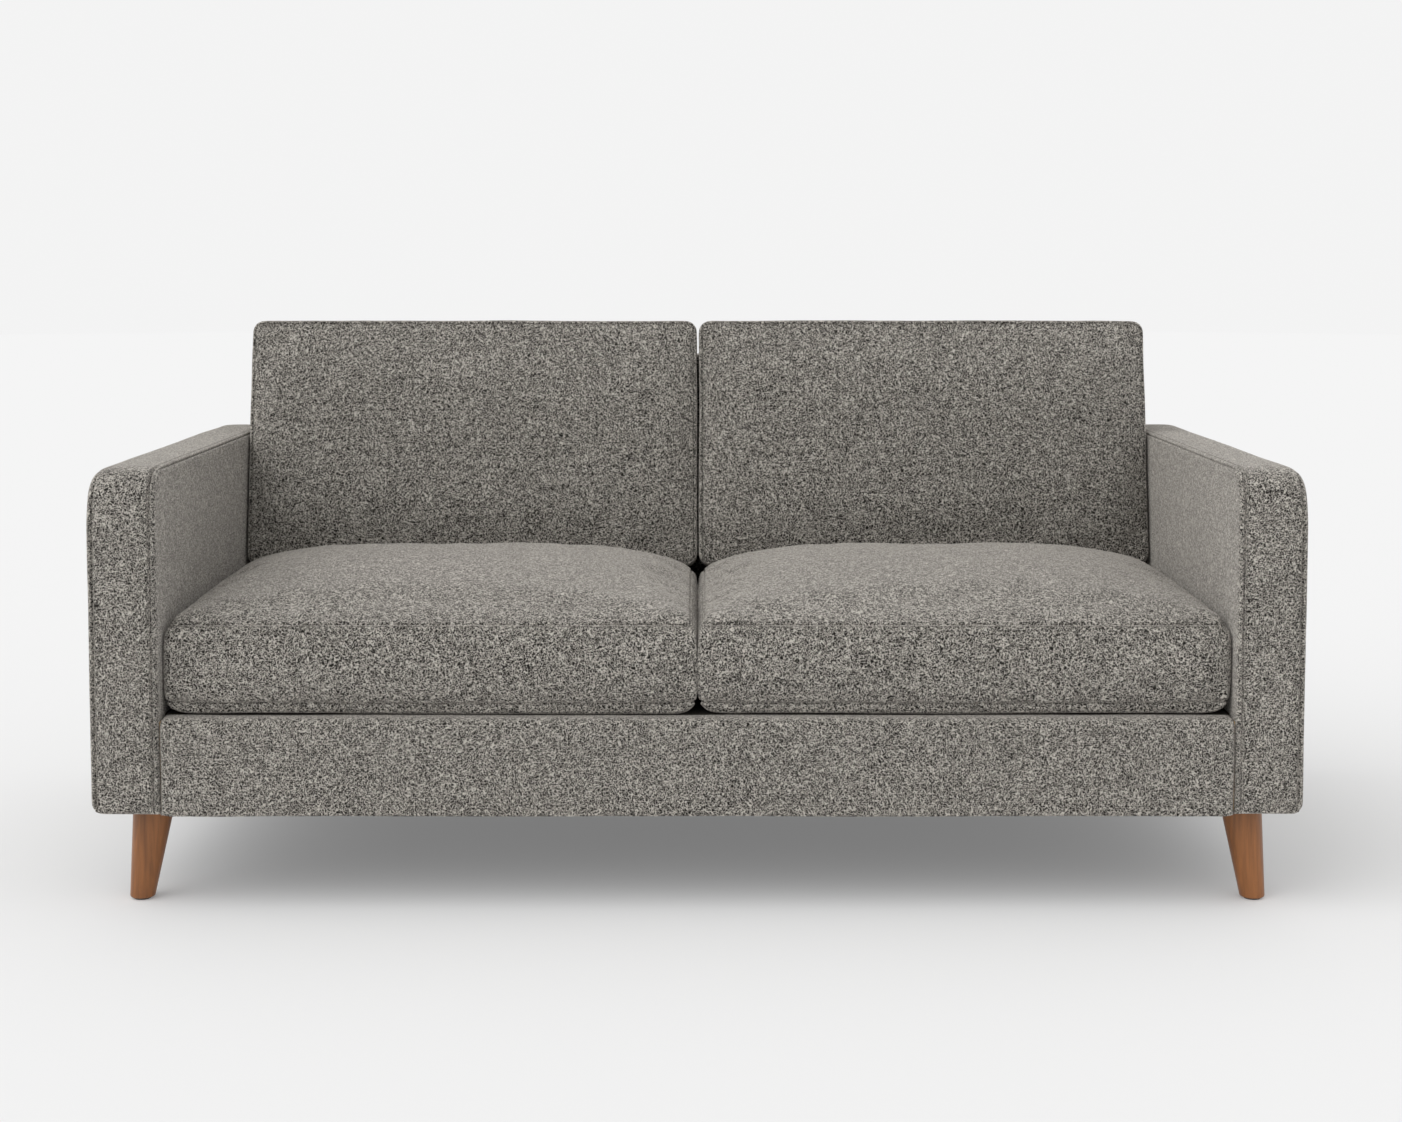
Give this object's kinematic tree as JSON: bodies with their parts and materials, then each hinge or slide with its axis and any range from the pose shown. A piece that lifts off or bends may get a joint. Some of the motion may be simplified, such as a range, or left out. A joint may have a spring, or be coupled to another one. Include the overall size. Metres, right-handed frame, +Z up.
{
  "type": "sofa",
  "caption": "Low, boxy upholstered sofa with square arms, loose crowned seat cushions, loose boxed back cushions and splayed tapered wooden legs.",
  "frame": {"origin": "on the floor under the middle of the sofa", "axes": "+X towards the right-hand arm as seen from the front, -Y towards the front, +Z up"},
  "size_m": [1.83, 0.88, 0.8697],
  "materials": {
    "upholstery_fabric": "matte",
    "upholstery_foam": "matte",
    "felt": "matte",
    "platform_cloth": "matte",
    "dust_cloth": "matte",
    "frame_timber": "matte",
    "leg_timber": "satin",
    "hardboard": "matte",
    "spring_steel": "satin",
    "zinc_steel": "satin",
    "webbing_strap": "matte",
    "glide_plastic": "matte",
    "zip_tape": "matte"
  },
  "bodies": {
    "frame": {"arm_left_boards": "hardboard", "arm_left_bottom_rail": "frame_timber", "arm_left_cover": "upholstery_fabric", "arm_left_foam": "upholstery_foam", "arm_left_front_post": "frame_timber", "arm_left_rear_post": "frame_timber", "arm_left_top_rail": "frame_timber", "arm_right_boards": "hardboard", "arm_right_bottom_rail": "frame_timber", "arm_right_cover": "upholstery_fabric", "arm_right_foam": "upholstery_foam", "arm_right_front_post": "frame_timber", "arm_right_rear_post": "frame_timber", "arm_right_top_rail": "frame_timber", "back_stiles": "frame_timber", "back_top_rail": "frame_timber", "back_webbing": "webbing_strap", "deck_cloth": "platform_cloth", "deck_felt": "felt", "dust_cover": "dust_cloth", "foot_glides": "glide_plastic", "front_rail_cover": "upholstery_fabric", "front_rail_foam": "upholstery_foam", "inside_back_cover": "upholstery_fabric", "inside_back_foam": "upholstery_foam", "leg_blocks": "frame_timber", "leg_front_left": "leg_timber", "leg_front_right": "leg_timber", "leg_hanger_bolts": "zinc_steel", "leg_plate_screws": "zinc_steel", "leg_plates": "zinc_steel", "leg_rear_left": "leg_timber", "leg_rear_right": "leg_timber", "outside_back_board": "hardboard", "outside_back_cover": "upholstery_fabric", "outside_back_wadding": "upholstery_foam", "seat_back_rail": "frame_timber", "seat_centre_rail": "frame_timber", "seat_front_rail": "frame_timber", "seat_springs": "spring_steel", "spring_clips": "zinc_steel"},
    "seat_cushion_left": {"seat_cushion_left_core": "upholstery_foam", "seat_cushion_left_crown": "upholstery_foam", "seat_cushion_left_cover": "upholstery_fabric", "seat_cushion_left_zip": "zip_tape"},
    "back_cushion_left": {"back_cushion_left_core": "upholstery_foam", "back_cushion_left_cover": "upholstery_fabric", "back_cushion_left_zip": "zip_tape"},
    "seat_zip_slider_left": {"seat_cushion_left_zip_slider": "zinc_steel"},
    "back_zip_slider_left": {"back_cushion_left_zip_slider": "zinc_steel"},
    "seat_cushion_right": {"seat_cushion_right_core": "upholstery_foam", "seat_cushion_right_crown": "upholstery_foam", "seat_cushion_right_cover": "upholstery_fabric", "seat_cushion_right_zip": "zip_tape"},
    "back_cushion_right": {"back_cushion_right_core": "upholstery_foam", "back_cushion_right_cover": "upholstery_fabric", "back_cushion_right_zip": "zip_tape"},
    "seat_zip_slider_right": {"seat_cushion_right_zip_slider": "zinc_steel"},
    "back_zip_slider_right": {"back_cushion_right_zip_slider": "zinc_steel"}
  },
  "joints": [
    {"name": "seat_cushion_left_pull_out", "type": "slide", "parent": "frame", "child": "seat_cushion_left", "axis": [0, -1, 0], "range_m": [0, 0.72]},
    {"name": "back_cushion_left_lift_out", "type": "slide", "parent": "frame", "child": "back_cushion_left", "axis": [0, 0, 1], "range_m": [0, 0.45]},
    {"name": "seat_zip_left_run", "type": "slide", "parent": "seat_cushion_left", "child": "seat_zip_slider_left", "axis": [-1, 0, 0], "range_m": [0, 0.56]},
    {"name": "back_zip_left_run", "type": "slide", "parent": "back_cushion_left", "child": "back_zip_slider_left", "axis": [-1, 0, 0], "range_m": [0, 0.56]},
    {"name": "seat_cushion_right_pull_out", "type": "slide", "parent": "frame", "child": "seat_cushion_right", "axis": [0, -1, 0], "range_m": [0, 0.72]},
    {"name": "back_cushion_right_lift_out", "type": "slide", "parent": "frame", "child": "back_cushion_right", "axis": [0, 0, 1], "range_m": [0, 0.45]},
    {"name": "seat_zip_right_run", "type": "slide", "parent": "seat_cushion_right", "child": "seat_zip_slider_right", "axis": [-1, 0, 0], "range_m": [0, 0.56]},
    {"name": "back_zip_right_run", "type": "slide", "parent": "back_cushion_right", "child": "back_zip_slider_right", "axis": [-1, 0, 0], "range_m": [0, 0.56]}
  ]
}
